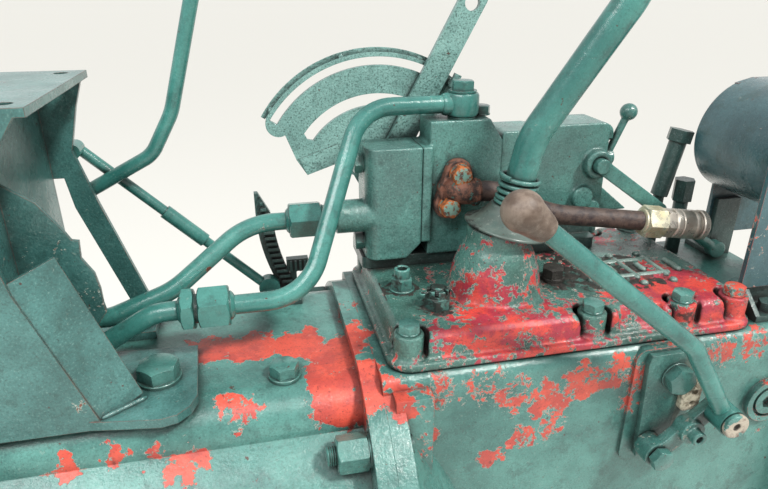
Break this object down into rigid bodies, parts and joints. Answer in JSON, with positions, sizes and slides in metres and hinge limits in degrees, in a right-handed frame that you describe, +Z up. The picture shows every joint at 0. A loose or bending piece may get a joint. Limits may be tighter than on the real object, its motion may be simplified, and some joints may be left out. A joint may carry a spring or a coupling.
{
  "type": "tractor gearbox unit",
  "caption": "Clutch housing and gearbox with gear and range levers, hydraulic valve, bent pipes, lever quadrant, front stand and seat pedestal.",
  "frame": {"origin": "on the input shaft axis, at the face of the engine-side flange of the clutch housing", "axes": "+X to the rear of the tractor along the shafts, +Y to the tractor's right-hand side, +Z up"},
  "size_m": [0.89, 0.448, 0.8513],
  "materials": {
    "teal_paint": "weathered gloss enamel",
    "cover_red": "chipped primer under teal enamel",
    "dark_paint": "grimy enamel",
    "bare_steel": "worn bare steel",
    "rusty_iron": "orange rust",
    "rusty_pipe": "brown mill scale and rust",
    "brass": "plated and worn",
    "grimy_iron": "oil and dirt",
    "worn_grip": "worn brown",
    "black_grip": "polished black"
  },
  "bodies": {
    "root": {"clutch_housing": "teal_paint", "inspection_plate": "teal_paint", "gearbox_case": "teal_paint", "side_cover": "teal_paint", "cover_bolts": "teal_paint", "joint_nuts": "teal_paint", "range_plate": "teal_paint", "range_bolts": "teal_paint", "valve_end": "teal_paint", "valve_body": "teal_paint", "valve_spool_block": "teal_paint", "valve_bolts": "teal_paint", "banjo": "teal_paint", "upper_pipe": "teal_paint", "inlet_fitting": "teal_paint", "inlet_pipe": "teal_paint", "union_pipe": "teal_paint", "link_lever": "teal_paint", "paddle_lever": "teal_paint", "quadrant": "teal_paint", "stay_rod": "teal_paint", "bent_tube": "teal_paint", "front_stand": "teal_paint", "stand_bolts": "teal_paint", "seat_pedestal": "teal_paint", "gear_cover": "cover_red", "release_fork": "dark_paint", "valve_bracket": "dark_paint", "brake_sector": "dark_paint", "pedestal_brackets": "dark_paint", "lift_fittings": "dark_paint", "release_shaft": "bare_steel", "release_sleeve": "bare_steel", "bearing_retainer": "bare_steel", "input_bearing": "bare_steel", "drain_plug": "bare_steel", "pinion_bearing": "bare_steel", "quick_coupling": "bare_steel", "return_flange": "rusty_iron", "return_pipe": "rusty_pipe", "coupling_nut": "brass", "filler_plug": "grimy_iron"},
    "input_shaft_body": {"input_shaft": "bare_steel"},
    "pinion_body": {"pinion_shaft": "bare_steel"},
    "cross_pin_body": {"lever_cross_pin": "bare_steel"},
    "gear_lever_body": {"gear_lever": "teal_paint", "gear_knob": "black_grip", "dust_cap": "dark_paint", "cap_spring": "dark_paint"},
    "range_lever_body": {"range_arm": "dark_paint", "range_rod": "teal_paint", "range_knob": "worn_grip"},
    "hand_lever_body": {"hand_lever": "teal_paint"}
  },
  "joints": [
    {"name": "input_spin", "type": "hinge", "parent": "root", "child": "input_shaft_body", "pos_m": [0.338, 0, 0], "axis": [1, 0, 0], "continuous": true},
    {"name": "pinion_spin", "type": "hinge", "parent": "root", "child": "pinion_body", "pos_m": [0.75, 0, -0.095], "axis": [1, 0, 0], "continuous": true},
    {"name": "gear_select", "type": "hinge", "parent": "root", "child": "cross_pin_body", "pos_m": [0.466, -0.022, 0.262], "axis": [1, 0, 0], "range_deg": [-6, 6]},
    {"name": "gear_shift", "type": "hinge", "parent": "cross_pin_body", "child": "gear_lever_body", "pos_m": [0.466, -0.022, 0.262], "axis": [0, 1, 0], "range_deg": [-20, 0]},
    {"name": "range_shift", "type": "hinge", "parent": "root", "child": "range_lever_body", "pos_m": [0.591, -0.128, 0.108], "axis": [0, 1, 0], "range_deg": [-8, 8]},
    {"name": "hand_lift", "type": "hinge", "parent": "root", "child": "hand_lever_body", "pos_m": [0.375, 0.085, 0.316], "axis": [0, 1, 0], "range_deg": [-76, 0]}
  ]
}
